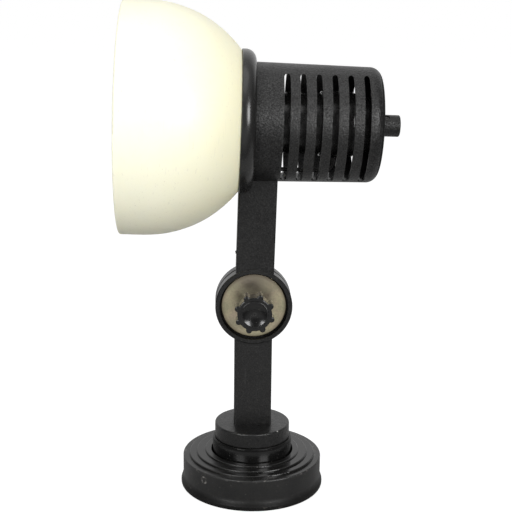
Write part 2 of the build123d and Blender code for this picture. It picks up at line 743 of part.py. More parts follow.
# Two screws inside the housing hold it down on the upper arm.
screw_seat = sqrt(inner_front**2 - 7.2**2) - 0.1
with BuildPart() as head_screws:
    with BuildSketch(saddle.offset(screw_seat)):
        with Locations(*[(s, -y) for s, y in head_screw_places]):
            Circle(head_screw_radius)
    extrude(amount=9.0)
    with BuildSketch(saddle.offset(screw_seat)):
        with Locations(*[(s, -y) for s, y in head_screw_places]):
            Circle(2 * head_screw_radius)
    extrude(amount=-pan_height)
head_screws.part.label = "head_screws"
export_step(head_screws.part, "parts/head_screws.step")

# Collar: glossy ring with a flat land and a quarter-round back, hollowed from the front.
collar_bore = sleeve_radius + thread_fit
with BuildPart() as collar_ring:
    with BuildSketch(head) as collar_profile:
        with BuildLine():
            Line((0, collar_bore), (0, collar_radius))
            Line((0, collar_radius), (collar_land, collar_radius))
            CenterArc((collar_land, collar_radius - collar_round), collar_round, 0, 90)
            Polyline(
                (collar_length, collar_radius - collar_round), (collar_length, collar_bore),
                (0, collar_bore),
            )
        make_face()
        with Locations((2.0, 30.4)):
            Rectangle(5.0, 4.0, mode=Mode.SUBTRACT)
        round_corner(collar_profile, 0, collar_radius, 0.5)
    revolve(axis=head_axis)
collar_ring.part.label = "collar_ring"
export_step(collar_ring.part, "parts/collar_ring.step")

# Shade: one smooth bowl with an even wall, a flange at its neck and a rounded rim.
flange_hole = sleeve_radius + 0.3
with BuildPart() as shade:
    with BuildSketch(head) as shade_section:
        with BuildLine():
            bowl = Spline(
                (0, shade_neck), *shade_profile, (-shade_length, shade_rim),
                tangents=((-1, 1.35), (-1, 0)),
            )
            inside = [
                (bowl @ u) + (bowl % u).rotate(Axis.Z, 90) * shade_wall
                for u in (0.06, 0.25, 0.5, 0.75, 1)
            ]
            lining = Spline(*inside, tangents=(bowl % 0.06, bowl % 1))
            Line(bowl @ 1, lining @ 1)
            flange_front = (lining @ 0).X
            Polyline(
                lining @ 0, (flange_front, flange_hole), (0, flange_hole), (0, shade_neck)
            )
        make_face()
        round_corner(shade_section, -shade_length, shade_rim, 0.9)
        round_corner(shade_section, -shade_length, shade_rim - shade_wall, 0.9)
    revolve(axis=head_axis)
shade.part.label = "shade"
export_step(shade.part, "parts/shade.step")

# Ring nut that clamps the shade's flange from inside, with finger notches.
ring_nut_radius = 31.0
ring_nut_width = 3.5
notch_count = 16
with BuildPart() as shade_ring_nut:
    with BuildSketch(across_head(flange_front - ring_nut_width)):
        Circle(ring_nut_radius)
        with PolarLocations(ring_nut_radius + 0.6, notch_count):
            Circle(1.8, mode=Mode.SUBTRACT)
        Circle(sleeve_radius + 0.02, mode=Mode.SUBTRACT)
    extrude(amount=ring_nut_width)
shade_ring_nut.part.label = "shade_ring_nut"
export_step(shade_ring_nut.part, "parts/shade_ring_nut.step")

# ---------------------------------------------------------------- lampholder and switch
holder_front = 13.0
holder_joint = 40.0
holder_back = 57.5
skirt_radius = 15.2
skirt_floor = 34.0       # back of the well that the screw shell sits in
cap_radius = 16.4
cap_inside = 14.0
shell_radius = 7.9
screw_circle = 11.3
holder_screw_angle = 20
holder_screw_radius = 1.35
screw_well = 9.0         # depth of each screw head below the skirt's front
with BuildPart() as lampholder_skirt:
    with BuildSketch(head) as skirt_profile:
        with BuildLine():
            Polyline(
                (holder_front, shell_radius + 0.1), (holder_front, skirt_radius),
                (holder_joint, skirt_radius), (holder_joint, 9.0), (skirt_floor, 9.0),
                (skirt_floor, shell_radius + 0.1), close=True,
            )
        make_face()
        round_corner(skirt_profile, holder_front, skirt_radius, 0.9)
    revolve(axis=head_axis)
    with BuildSketch(across_head(holder_front)):
        with PolarLocations(screw_circle, 2, start_angle=holder_screw_angle):
            Circle(2.7)
    extrude(amount=screw_well, mode=Mode.SUBTRACT)
    with BuildSketch(across_head(holder_front)):
        with PolarLocations(screw_circle, 2, start_angle=holder_screw_angle):
            Circle(1.4)
    extrude(amount=holder_joint, mode=Mode.SUBTRACT)
lampholder_skirt.part.label = "lampholder_skirt"
export_step(lampholder_skirt.part, "parts/lampholder_skirt.step")

with BuildPart() as lampholder_cap:
    with BuildSketch(head) as cap_profile:
        with BuildLine():
            Polyline(
                (holder_joint, cap_inside), (holder_joint, cap_radius),
                (holder_back, cap_radius), (holder_back, 3.0), (holder_back - 2.5, 3.0),
                (holder_back - 2.5, cap_inside),
                close=True,
            )
        make_face()
        round_corner(cap_profile, holder_back, cap_radius, 2.0)
        round_corner(cap_profile, holder_joint, cap_radius, 0.8)
    revolve(axis=head_axis)
    with BuildSketch(across_head(holder_back)):
        with PolarLocations(screw_circle, 2, start_angle=holder_screw_angle):
            Circle(1.4)
    extrude(amount=-4, mode=Mode.SUBTRACT)
lampholder_cap.part.label = "lampholder_cap"
export_step(lampholder_cap.part, "parts/lampholder_cap.step")

# Brass screw shell with rolled thread crests, and the sprung centre contact behind it.
thread_pitch = 2.82
thread_turns = 5
shell_bore = 7.45
shell_ends = (14.0, 32.0)
with BuildPart() as screw_shell:
    with BuildSketch(head):
        with BuildLine():
            Polyline(
                (shell_ends[0], shell_bore), (shell_ends[0], shell_radius),
                (shell_ends[1], shell_radius), (shell_ends[1], shell_bore), close=True,
            )
        make_face()
        crests = [shell_ends[0] + 3.0 + i * thread_pitch for i in range(thread_turns)]
        with Locations(*[(s, shell_radius + 0.1) for s in crests]):
            Circle(0.3, mode=Mode.SUBTRACT)
    revolve(axis=head_axis)
screw_shell.part.label = "screw_shell"
export_step(screw_shell.part, "parts/screw_shell.step")

with BuildPart() as centre_contact:
    with BuildSketch(head.offset(-2.5)):
        with BuildLine():
            Polyline(
                (33.4, -2), (33.4, 2), (36.0, 6.0), (38.4, 6.0), (38.4, 5.5), (36.3, 5.5),
                (33.9, 1.8), (33.9, -2), close=True,
            )
        make_face()
    extrude(amount=5.0)
centre_contact.part.label = "centre_contact"
export_step(centre_contact.part, "parts/centre_contact.step")

# Two long screws hold skirt and cap on the switch.
with BuildPart() as holder_screws:
    with BuildSketch(across_head(holder_front + screw_well)):
        with PolarLocations(screw_circle, 2, start_angle=holder_screw_angle):
            Circle(holder_screw_radius)
    extrude(amount=40)
    with BuildSketch(across_head(holder_front + screw_well)):
        with PolarLocations(screw_circle, 2, start_angle=holder_screw_angle):
            Circle(2.6)
    extrude(amount=-pan_height)
holder_screws.part.label = "holder_screws"
export_step(holder_screws.part, "parts/holder_screws.step")

spindle_radius = 2.5
spindle_end = 78.4
switch_body_radius = 13.6
with BuildPart() as switch_body:
    with BuildSketch(across_head(holder_back)):
        Circle(switch_body_radius)
        Circle(spindle_radius + thread_fit, mode=Mode.SUBTRACT)
        with PolarLocations(screw_circle, 2, start_angle=holder_screw_angle):
            Circle(holder_screw_radius, mode=Mode.SUBTRACT)
    extrude(amount=back_inside - holder_back)
    with BuildSketch(across_head(back_inside)):
        with Locations(*switch_screw_places):
            Circle(cover_screw_radius)
    extrude(amount=-7, mode=Mode.SUBTRACT)
switch_body.part.label = "switch_body"
export_step(switch_body.part, "parts/switch_body.step")

switch_screws = countersunk_screws(across_head(housing_end), switch_screw_places, 8.0)
switch_screws.part.label = "switch_screws"
export_step(switch_screws.part, "parts/switch_screws.step")

# Rotary switch: spindle, push-on knob and the grub screw in the knob's upper near side.
knob_start = housing_end + 0.35
knob_end = 80.4
switch_knob_radius = 5.45
grub_s = 73.4
with BuildPart() as switch_spindle:
    with BuildSketch(across_head(holder_back + 2)):
        Circle(spindle_radius)
    extrude(amount=spindle_end - holder_back - 2)
switch_spindle.part.label = "switch_spindle"
export_step(switch_spindle.part, "parts/switch_spindle.step")

grub_origin = head.from_local_coords((grub_s, 0, 0))
grub_out = Vector(0, -1, 0) + upper.y_dir * 1.6
grub_plane = Plane(origin=grub_origin, x_dir=head.x_dir, z_dir=grub_out.normalized())
with BuildPart() as switch_knob:
    with BuildSketch(across_head(knob_start)):
        Circle(switch_knob_radius)
    extrude(amount=knob_end - knob_start)
    ends = switch_knob.edges().filter_by(GeomType.CIRCLE).sort_by(head_axis)
    fillet(ends[-1], 0.8)
    with BuildSketch(across_head(knob_start)):
        Circle(spindle_radius)
    extrude(amount=spindle_end - knob_start, mode=Mode.SUBTRACT)
    with BuildSketch(grub_plane):
        Circle(1.5)
    extrude(amount=switch_knob_radius + 1, mode=Mode.SUBTRACT)
switch_knob.part.label = "switch_knob"
export_step(switch_knob.part, "parts/switch_knob.step")

with BuildPart() as switch_grub_screw:
    with BuildSketch(grub_plane.offset(spindle_radius + 0.05)):
        Circle(1.4)
    extrude(amount=2.0)
    with BuildSketch(grub_plane.offset(spindle_radius + 2.1)):
        Rectangle(3.0, 0.5)
    extrude(amount=-0.8, mode=Mode.SUBTRACT)
switch_grub_screw.part.label = "switch_grub_screw"
export_step(switch_grub_screw.part, "parts/switch_grub_screw.step")

# Leads from the channel of the upper arm to the underside of the lampholder's cap.
lead_x = seam_x + lead_hole[0]
lead_y = 71.0            # height above the joint at which the leads run to the back
cap_x = seam_x + 48.0
with BuildPart() as upper_leads:
    for side in (-1, 1):
        with BuildLine(upper.offset(-lead_hole[1] + side * lead_spread)):
            route = FilletPolyline(
                (lead_x, channel_start + 1), (lead_x, lead_y), (cap_x, lead_y),
                (cap_x, head_height - cap_radius - 0.2), radius=4.0,
            )
        with BuildSketch(Plane(origin=route @ 0, z_dir=route % 0)):
            Circle(lead_radius)
        sweep(path=route)
upper_leads.part.label = "upper_leads"
export_step(upper_leads.part, "parts/upper_leads.step")

# ---------------------------------------------------------------- bulb, small screw cap
ball_radius = 22.5
ball_s = -20.5
neck_angle = 48
bulb_neck = 5.9
glass_end = 12.0
cap_front = 8.2
cap_back = 28.0
cap_inner = 6.0
with BuildPart() as bulb_glass:
    with BuildSketch(head):
        with BuildLine():
            ball = CenterArc((ball_s, 0), ball_radius, 180, neck_angle - 180)
            throat = Spline(ball @ 1, (cap_front, bulb_neck + 0.05), tangents=(ball % 1, (1, -0.1)))
            Polyline(throat @ 1, (glass_end, bulb_neck), (glass_end, 0), ball @ 0)
        make_face()
    revolve(axis=head_axis)
    offset(amount=-0.8, openings=bulb_glass.faces().sort_by(head_axis)[-1])
bulb_glass.part.label = "bulb_glass"
export_step(bulb_glass.part, "parts/bulb_glass.step")

with BuildPart() as bulb_cap:
    with BuildSketch(head):
        with BuildLine():
            Polyline(
                (cap_front, cap_inner), (cap_front, 7.2), (14.0, 7.0), (cap_back, 6.9),
                (cap_back, cap_inner), close=True,
            )
        make_face()
        with Locations(*[(15.6 + i * thread_pitch, 7.35) for i in range(thread_turns)]):
            Circle(0.75, mode=Mode.SUBTRACT)
    revolve(axis=head_axis)
bulb_cap.part.label = "bulb_cap"
export_step(bulb_cap.part, "parts/bulb_cap.step")

tip_start = 30.6
with BuildPart() as bulb_insulator:
    with BuildSketch(head):
        with BuildLine():
            Polyline(
                (26.5, 0), (26.5, cap_inner), (cap_back, cap_inner), (tip_start, 2.9),
                (tip_start, 0), close=True,
            )
        make_face()
    revolve(axis=head_axis)
bulb_insulator.part.label = "bulb_insulator"
export_step(bulb_insulator.part, "parts/bulb_insulator.step")

with BuildPart() as bulb_tip:
    with BuildSketch(across_head(tip_start)):
        Circle(2.4)
    extrude(amount=2.2)
    fillet(bulb_tip.edges().filter_by(GeomType.CIRCLE).sort_by(head_axis)[-1], 1.0)
bulb_tip.part.label = "bulb_tip"
export_step(bulb_tip.part, "parts/bulb_tip.step")
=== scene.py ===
import json
import math

import bmesh
import bpy
from mathutils import Matrix, Vector


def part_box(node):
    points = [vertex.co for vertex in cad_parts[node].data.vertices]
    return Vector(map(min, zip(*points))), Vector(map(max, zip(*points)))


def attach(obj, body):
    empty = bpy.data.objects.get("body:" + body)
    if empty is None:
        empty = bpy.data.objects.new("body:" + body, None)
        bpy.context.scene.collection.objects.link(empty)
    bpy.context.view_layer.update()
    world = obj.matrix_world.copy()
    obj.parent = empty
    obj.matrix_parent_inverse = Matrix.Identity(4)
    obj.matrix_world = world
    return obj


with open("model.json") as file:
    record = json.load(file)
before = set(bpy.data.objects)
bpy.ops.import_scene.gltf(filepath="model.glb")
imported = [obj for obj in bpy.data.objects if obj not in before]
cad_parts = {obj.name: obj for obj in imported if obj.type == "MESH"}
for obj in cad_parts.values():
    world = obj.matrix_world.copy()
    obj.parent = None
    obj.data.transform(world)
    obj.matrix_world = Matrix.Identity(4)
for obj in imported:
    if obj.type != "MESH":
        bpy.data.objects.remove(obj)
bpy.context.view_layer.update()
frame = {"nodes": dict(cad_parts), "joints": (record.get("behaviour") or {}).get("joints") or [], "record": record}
nodes = frame["nodes"]
joints = {j["name"]: j for j in frame["joints"]}
mm = 0.001

# ---------------------------------------------------------------- places read from the frame
elbow = Vector(joints["elbow_tilt"]["pos_m"])
head_dir = Vector(joints["switch_turn"]["axis"]).normalized()
switch_at = Vector(joints["switch_turn"]["pos_m"])
canopy_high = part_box("base_canopy")[1]
shade_low, shade_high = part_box("shade")

# ---------------------------------------------------------------- marks and zones on the part
CANOPY_STEPS = 2.9 * mm                          # the stepped top's height above the wall
DISC_EDGE_RADIUS = 19.5 * mm                           # the elbow discs' edge, where the gap between them gets painted shade
GAP_SHADE_REACH = 0.8 * mm                             # how far from that radius the painted gap shade goes
PLATE_SHADOW_START = 14.8 * mm                          # painted shadow on the pressure plate starts outside this radius
PLATE_SHADOW_FULL = 17.0 * mm                           # and is darkest outside this one
PAINTED_LIFT_START = elbow.z + 30 * mm                  # polished parts start to get painted light at this height
PAINTED_LIFT_FULL = elbow.z + 60 * mm                   # and get the most of it from here, on the head
SHOULDER_LOW = (25.0 * mm, 25.6 * mm)            # heights where the neck's dull shoulder begins
SHOULDER_HIGH = (27.0 * mm, 27.6 * mm)           # and where it ends
PALE_SPECK_AT = Vector((12.9, -14.9, 34.7)) * mm        # a pale speck on the drum's top
PALE_SPECK_SIZE = 0.3 * mm
SCRAPE_AT = Vector((-25.4, -26.6, 12.5)) * mm    # a ring-shaped scrape on the canopy's wall
SCRAPE_OUTER, SCRAPE_INNER = 1.8 * mm, 1.0 * mm
SCRAP_AT = Vector((-9.2, -4.4, 128.6)) * mm      # moulding flash on the left edge of the upper arm
SCRAP_SIZE = Vector((0.55, 0.7, 0.9)) * mm       # its half sizes

# ---------------------------------------------------------------- camera
CAMERA_AT = Vector((1.05, -566.6, 266.3)) * mm   # before it goes round the part by the azimuth
CAMERA_AZIMUTH = -1.99                           # degrees
CAMERA_PITCH = 13.964                            # degrees downwards
CAMERA_ROLL = 0.657                              # degrees
FOCAL_IN_FRAMES = 2.2080                         # focal length over the frame's width
SENSOR = 36.0                                    # the frame's width in Blender's millimetres

camera_data = bpy.data.cameras.new("camera")
camera_data.sensor_width = SENSOR
camera_data.lens = SENSOR * FOCAL_IN_FRAMES
camera_data.clip_start = 0.01
camera_data.clip_end = 200
camera = bpy.data.objects.new("camera", camera_data)
camera.matrix_world = (
    Matrix.Rotation(math.radians(CAMERA_AZIMUTH), 4, "Z")
    @ Matrix.Translation(CAMERA_AT)
    @ Matrix.Rotation(math.radians(90 - CAMERA_PITCH), 4, "X")
    @ Matrix.Rotation(math.radians(CAMERA_ROLL), 4, "Z")
)
bpy.context.scene.collection.objects.link(camera)
bpy.context.scene.camera = camera
bpy.context.scene.view_settings.view_transform = "Standard"


# ---------------------------------------------------------------- node helpers
class Graph:
    """A material's node tree with short calls for the nodes used here."""

    def __init__(self, name):
        self.material = bpy.data.materials.new(name)
        self.material.use_nodes = True
        self.tree = self.material.node_tree
        self.tree.nodes.clear()
        self.out = self.tree.nodes.new("ShaderNodeOutputMaterial")
        self.point = self.new("ShaderNodeTexCoord").outputs["Object"]

    def new(self, kind, **values):
        """Add a node; values go to its inputs by name, or link when they are sockets."""
        node = self.tree.nodes.new(kind)
        for name, value in values.items():
            self.feed(node.inputs[name.replace("_", " ")], value)
        return node

    def feed(self, socket, value):
        """Link value to the socket, or set the socket to it."""
        if isinstance(value, bpy.types.NodeSocket):
            self.tree.links.new(value, socket)
        else:
            socket.default_value = value

    def noise(self, scale, detail=2.0, rough=0.5, at=None, distortion=0.0):
        node = self.new("ShaderNodeTexNoise", Vector=at or self.point, Scale=float(scale),
                        Detail=float(detail), Roughness=rough, Distortion=distortion)
        return node.outputs["Fac"]

    def cells(self, scale):
        node = self.new("ShaderNodeTexVoronoi", Vector=self.point, Scale=scale)
        return node.outputs["Distance"]

    def math(self, operation, a, b=0.0, clamp=False):
        node = self.tree.nodes.new("ShaderNodeMath")
        node.operation = operation
        node.use_clamp = clamp
        self.feed(node.inputs[0], a)
        self.feed(node.inputs[1], b)
        return node.outputs[0]

    def same(self, a, b, within):
        """1 where a and b differ by no more than within, and 0 elsewhere."""
        compared = self.math("COMPARE", a, b)
        compared.node.inputs[2].default_value = within
        return compared

    def distance(self, place):
        """Distance from a place on the object."""
        node = self.tree.nodes.new("ShaderNodeVectorMath")
        node.operation = "DISTANCE"
        self.feed(node.inputs[0], self.point)
        node.inputs[1].default_value = place
        return node.outputs["Value"]

    def spread(self, value, low, high, to_low=0.0, to_high=1.0):
        """Map value from low..high to to_low..to_high, clamped."""
        node = self.tree.nodes.new("ShaderNodeMapRange")
        node.clamp = True
        for socket, v in zip(node.inputs, (value, low, high, to_low, to_high)):
            self.feed(socket, v)
        return node.outputs[0]

    def blend(self, factor, a, b):
        """Mix two colours."""
        node = self.tree.nodes.new("ShaderNodeMix")
        node.data_type = "RGBA"
        self.feed(node.inputs["Factor"], factor)
        self.feed(node.inputs[6], a)
        self.feed(node.inputs[7], b)
        return node.outputs[2]

    def stretched(self, x=1.0, y=1.0, z=1.0, turn=(0.0, 0.0, 0.0)):
        """The point scaled and turned, so that noise on it runs in streaks."""
        node = self.new("ShaderNodeMapping", Vector=self.point)
        node.inputs["Scale"].default_value = (x, y, z)
        node.inputs["Rotation"].default_value = turn
        return node.outputs[0]

    def parts(self):
        """The point's x, y and z."""
        return self.new("ShaderNodeSeparateXYZ", Vector=self.point).outputs

    def bump(self, height, strength, distance):
        node = self.new("ShaderNodeBump", Strength=strength, Distance=distance, Height=height)
        return node.outputs[0]

    def surface(self, **values):
        shader = self.new("ShaderNodeBsdfPrincipled", **values)
        self.tree.links.new(shader.outputs[0], self.out.inputs["Surface"])


def rgb(r, g, b):
    return (r, g, b, 1.0)


def grey(level, warm=0.0):
    """A neutral colour, with a little more red and less blue as warm rises."""
    return rgb(level * (1 + warm), level, level * (1 - warm))


# ---------------------------------------------------------------- places and marks
def near(g, place, size):
    """1 within size of a place on the object, fading to 0."""
    return g.spread(g.distance(place), size, size + 0.3 * mm, 1.0, 0.0)


def elbow_distance(g, x, z):
    """Distance from the elbow's axis."""
    return g.math("SQRT", g.math("ADD", g.math("POWER", g.math("SUBTRACT", x, elbow.x), 2.0),
                                 g.math("POWER", g.math("SUBTRACT", z, elbow.z), 2.0)))


def axis_distance(g):
    """Distance from the head's axis."""
    cross = g.tree.nodes.new("ShaderNodeVectorMath")
    cross.operation = "CROSS_PRODUCT"
    offset = g.tree.nodes.new("ShaderNodeVectorMath")
    offset.operation = "SUBTRACT"
    g.feed(offset.inputs[0], g.point)
    offset.inputs[1].default_value = switch_at
    g.feed(cross.inputs[0], offset.outputs[0])
    cross.inputs[1].default_value = head_dir
    length = g.tree.nodes.new("ShaderNodeVectorMath")
    length.operation = "LENGTH"
    g.feed(length.inputs[0], cross.outputs[0])
    return length.outputs["Value"]


# ---------------------------------------------------------------- black plastics
def grain(g, size):
    """Height of a spark-eroded mould finish: soft lumps of the given size and pits on them."""
    lumps = g.noise(1 / size, detail=3, rough=0.6)
    pits = g.cells(0.6 / size)
    return g.math("ADD", lumps, g.math("MULTIPLY", pits, 0.6))


def dust(g, size, amount):
    """Sparse light specks, 0 on clean plastic and up to amount on a speck."""
    return g.spread(g.noise(1 / size, detail=1), 0.70, 0.76, 0.0, amount)


def hairlines(g, turn, amount):
    """Thin scratches that run one way, 0 to amount."""
    lines = g.noise(900, detail=2, at=g.stretched(1.0, 1.0, 0.03, turn))
    return g.spread(lines, 0.66, 0.72, 0.0, amount)


def worn_edge(g, amount, low=0.52, high=0.60):
    """Up to amount on outer edges, where handling rubs the plastic paler, and 0 elsewhere."""
    node = g.new("ShaderNodeNewGeometry")
    patchy = g.noise(260, detail=3)
    edge = g.spread(node.outputs["Pointiness"], low, high)
    return g.math("MULTIPLY", edge, g.spread(patchy, 0.35, 0.65, 0.15, amount))


def textured_black(name, tone, rough, size, depth, cloud=0.22, edge=0.3, edge_wear_and_sheen_tone=0.03,
                   speckles=0.8, sparkle=0.08, inside=0.0, gap_shade_width=0.0):
    """Black grained-mould plastic: mottled tone, wear and a painted sheen on edges, broken highlight.

    size and depth are the grain's. cloud is the mottle's contrast, edge and edge_wear_and_sheen_tone
    say how much and how pale the edges are made, for rubbing and a painted sheen, speckles is the
    amount of paler grains and sparkle how much the shine varies between grains. Within the distance
    inside of the head's axis the surface is unpolished and dull. Within gap_shade_width of the arms'
    middle plane the elbow discs' edges get painted shade for the dark gap between them.
    """
    g = Graph(name)
    height = grain(g, size)
    mottle = g.noise(0.28 / size, detail=4, rough=0.6)
    clouds = g.noise(45, detail=3)
    base = g.blend(g.spread(mottle, 0.32, 0.68), grey(tone * (1 - cloud)),
                   grey(tone * (1 + cloud), 0.015))
    speckle = g.spread(g.noise(1.0 / size, detail=2), 0.50, 0.70, 0.0, speckles)
    base = g.blend(speckle, base, grey(tone * 5, 0.02))
    base = g.blend(g.spread(clouds, 0.45, 0.75, 0.0, 0.3), base, grey(tone * 1.5, 0.03))
    # Edges paled for handling wear and as a painted edge sheen.
    base = g.blend(worn_edge(g, edge), base, grey(edge_wear_and_sheen_tone, 0.02))
    base = g.blend(dust(g, 0.9 * mm, 0.15), base, grey(0.10, 0.05))
    base = g.blend(hairlines(g, (0.5, 0.2, 0.1), 0.2), base, grey(0.05))
    roughness = g.math("ADD", g.spread(mottle, 0.3, 0.7, rough - 0.05, rough + 0.05),
                       g.spread(clouds, 0.35, 0.7, -0.03, 0.06))
    # A pale speck on the drum's top.
    base = g.blend(near(g, PALE_SPECK_AT, PALE_SPECK_SIZE), base, grey(0.45, 0.02))
    shine = g.spread(g.noise(1.2 / size, detail=2, rough=0.7), 0.38, 0.62,
                     0.42 - sparkle, 0.42 + sparkle)
    # Painted shade on the elbow discs' edges where they meet, standing for the gap's shadow.
    if gap_shade_width:
        x, y, z = g.parts()
        painted_gap_shade = g.math("MULTIPLY", g.spread(g.math("ABSOLUTE", y), gap_shade_width, gap_shade_width + 0.2 * mm, 1.0, 0.0),
                        g.same(elbow_distance(g, x, z), DISC_EDGE_RADIUS, GAP_SHADE_REACH))
        base = g.blend(painted_gap_shade, base, grey(0.002))
        shine = g.spread(painted_gap_shade, 0.0, 1.0, shine, 0.02)
    if inside:
        dull = g.spread(axis_distance(g), inside, inside + 0.3 * mm, 1.0, 0.0)
        base = g.blend(dull, base, grey(0.004))
        roughness = g.math("MAXIMUM", roughness, g.math("MULTIPLY", dull, 0.7))
        shine = g.spread(dull, 0.0, 1.0, shine, 0.12)
    g.surface(Base_Color=base, Roughness=roughness, Specular_IOR_Level=shine,
              Normal=g.bump(height, 0.8, depth))
    return g.material


def polished_black(name, tone, rough):
    """Polished black plastic: a faint moulding swell, hairlines, dust and handling haze."""
    g = Graph(name)
    wave = g.noise(70, detail=1)
    haze = g.noise(38, detail=4, rough=0.6)
    scratch = g.math("MAXIMUM", hairlines(g, (0.9, 0.3, 0.0), 1.0),
                     hairlines(g, (0.1, 1.3, 0.4), 1.0))
    speck = dust(g, 0.7 * mm, 1.0)
    base = g.blend(g.spread(haze, 0.4, 0.7), grey(tone * 0.8), grey(tone * 1.5, 0.02))
    base = g.blend(worn_edge(g, 0.35), base, grey(0.08, 0.02))
    base = g.blend(g.math("MULTIPLY", speck, 0.3), base, grey(0.14, 0.05))
    roughness = g.math("ADD", g.spread(haze, 0.35, 0.7, rough, rough + 0.05),
                       g.math("MULTIPLY", scratch, 0.12))
    z = g.parts()["Z"]
    # Painted light: polished parts on the head are made paler, as if more brightly lit.
    painted_lift = g.spread(z, PAINTED_LIFT_START, PAINTED_LIFT_FULL)
    base = g.blend(g.math("MULTIPLY", painted_lift, 0.8), base, grey(0.014, 0.02))
    roughness = g.math("ADD", roughness, g.math("MULTIPLY", painted_lift, 0.06))
    shoulder = g.math("MULTIPLY", g.spread(z, *SHOULDER_LOW),
                      g.spread(z, *SHOULDER_HIGH, 1.0, 0.0))
    height = g.math("ADD", wave, g.math("MULTIPLY", scratch, -0.02))
    g.surface(Base_Color=base, Roughness=roughness, IOR=1.52,
              Specular_IOR_Level=g.spread(shoulder, 0.0, 1.0, 0.5, 0.15),
              Normal=g.bump(height, 0.3, 0.12 * mm))
    return g.material


def canopy_black(name):
    """The base cover: satin on its wall, polished on the stepped top, with chips along the rim."""
    g = Graph(name)
    x, _, z = g.parts()
    side_top = canopy_high.z - CANOPY_STEPS
    top = g.spread(z, side_top - 0.4 * mm, side_top + 0.4 * mm)
    haze = g.noise(60, detail=4, rough=0.6)
    fine = g.noise(1100, detail=3)
    base = g.blend(g.spread(haze, 0.35, 0.7), grey(0.005), grey(0.009, 0.03))
    base = g.blend(g.spread(fine, 0.35, 0.65, 0.0, 0.35), base, grey(0.013, 0.02))
    rim = g.math("MULTIPLY", g.spread(z, side_top - 1.1 * mm, side_top - 0.6 * mm),
                 g.spread(z, side_top + 0.4 * mm, side_top))
    chips = g.math("MULTIPLY", rim, g.spread(g.noise(330, detail=2), 0.60, 0.66))
    base = g.blend(g.math("MULTIPLY", rim, 0.2), base, grey(0.03, 0.02))
    base = g.blend(chips, base, grey(0.06, 0.06))
    base = g.blend(dust(g, 1.1 * mm, 0.3), base, grey(0.09, 0.06))
    marks = g.spread(g.noise(150, detail=2, at=g.stretched(1.0, 1.0, 2.5)), 0.70, 0.74)
    base = g.blend(g.math("MULTIPLY", marks, 0.25), base, grey(0.09, 0.08))
    satin = g.spread(haze, 0.3, 0.7, 0.36, 0.46)
    handled = g.spread(x, -4 * mm, 0.0, 0.18, 0.0)      # duller on one half of the steps
    gloss = g.math("ADD", g.spread(haze, 0.3, 0.7, 0.10, 0.16), handled)
    roughness = g.math("ADD", g.math("MULTIPLY", satin, g.math("SUBTRACT", 1.0, top)),
                       g.math("MULTIPLY", gloss, top))
    height = g.math("ADD", g.math("MULTIPLY", fine, g.spread(top, 0.0, 1.0, 1.0, 0.06)),
                    g.math("MULTIPLY", chips, -1.0))
    scrape = g.math("SUBTRACT", near(g, SCRAPE_AT, SCRAPE_OUTER), near(g, SCRAPE_AT, SCRAPE_INNER))
    scrape = g.math("MULTIPLY", scrape, g.spread(g.noise(700, detail=1), 0.40, 0.55))
    base = g.blend(scrape, base, grey(0.16, 0.05))
    shine = g.spread(z, 3.5 * mm, 6.0 * mm, 0.12, 0.42)  # less at the foot
    g.surface(Base_Color=base, Roughness=roughness, Specular_IOR_Level=shine,
              Normal=g.bump(height, 0.6, 0.08 * mm))
    return g.material


def fired_steel(name):
    """Black-finished screw steel, with bright metal where a driver has rubbed it."""
    g = Graph(name)
    cloud = g.noise(420, detail=4)
    rubbed = worn_edge(g, 0.9, 0.50, 0.56)
    base = g.blend(g.spread(cloud, 0.35, 0.65), grey(0.028), grey(0.055, 0.03))
    base = g.blend(rubbed, base, grey(0.32, 0.02))
    g.surface(Base_Color=base, Metallic=0.7, Roughness=g.spread(cloud, 0.3, 0.7, 0.32, 0.5),
              Normal=g.bump(cloud, 0.3, 0.04 * mm))
    return g.material


# ---------------------------------------------------------------- shade, glass and pale plastics
def opal_plastic(name):
    """Cream moulded shade, yellowed by the bulb's heat near the neck, with fine rubs."""
    g = Graph(name)
    heat = g.spread(g.parts()["X"], shade_low.x + 12 * mm, shade_high.x)
    cloud = g.noise(28, detail=3)
    heat = g.math("ADD", g.math("POWER", heat, 1.6), g.spread(cloud, 0.3, 0.7, -0.05, 0.05),
                  clamp=True)
    base = g.blend(heat, rgb(0.90, 0.88, 0.70), rgb(0.88, 0.84, 0.60))
    rubs = g.math("MAXIMUM", hairlines(g, (0.2, 0.9, 0.0), 1.0),
                  hairlines(g, (1.1, 0.1, 0.7), 1.0))
    base = g.blend(g.math("MULTIPLY", rubs, 0.35), base, rgb(0.70, 0.67, 0.55))
    specks = g.spread(g.noise(620, detail=1), 0.76, 0.80)
    base = g.blend(g.math("MULTIPLY", specks, 0.25), base, rgb(0.45, 0.38, 0.26))
    fine = g.noise(900, detail=2)
    roughness = g.math("ADD", g.spread(cloud, 0.3, 0.7, 0.34, 0.42),
                       g.math("MULTIPLY", rubs, 0.15))
    g.surface(Base_Color=base, Roughness=roughness, Subsurface_Weight=0.25,
              Subsurface_Scale=4 * mm, Subsurface_Radius=(1.0, 0.85, 0.6), IOR=1.48,
              Normal=g.bump(g.math("ADD", fine, g.math("MULTIPLY", rubs, -0.5)), 0.12, 0.04 * mm))
    return g.material


def frosted_glass(name):
    """Inside-frosted lamp glass."""
    g = Graph(name)
    frost = g.noise(1500, detail=3)
    cloud = g.noise(90, detail=3)
    base = g.blend(g.spread(cloud, 0.3, 0.7), rgb(0.84, 0.84, 0.82), rgb(0.91, 0.91, 0.90))
    g.surface(Base_Color=base, Roughness=g.spread(frost, 0.3, 0.7, 0.10, 0.2),
              Subsurface_Weight=0.6, Subsurface_Scale=4 * mm,
              Subsurface_Radius=(1.0, 1.0, 1.0), IOR=1.5,
              Normal=g.bump(frost, 0.05, 0.02 * mm))
    return g.material


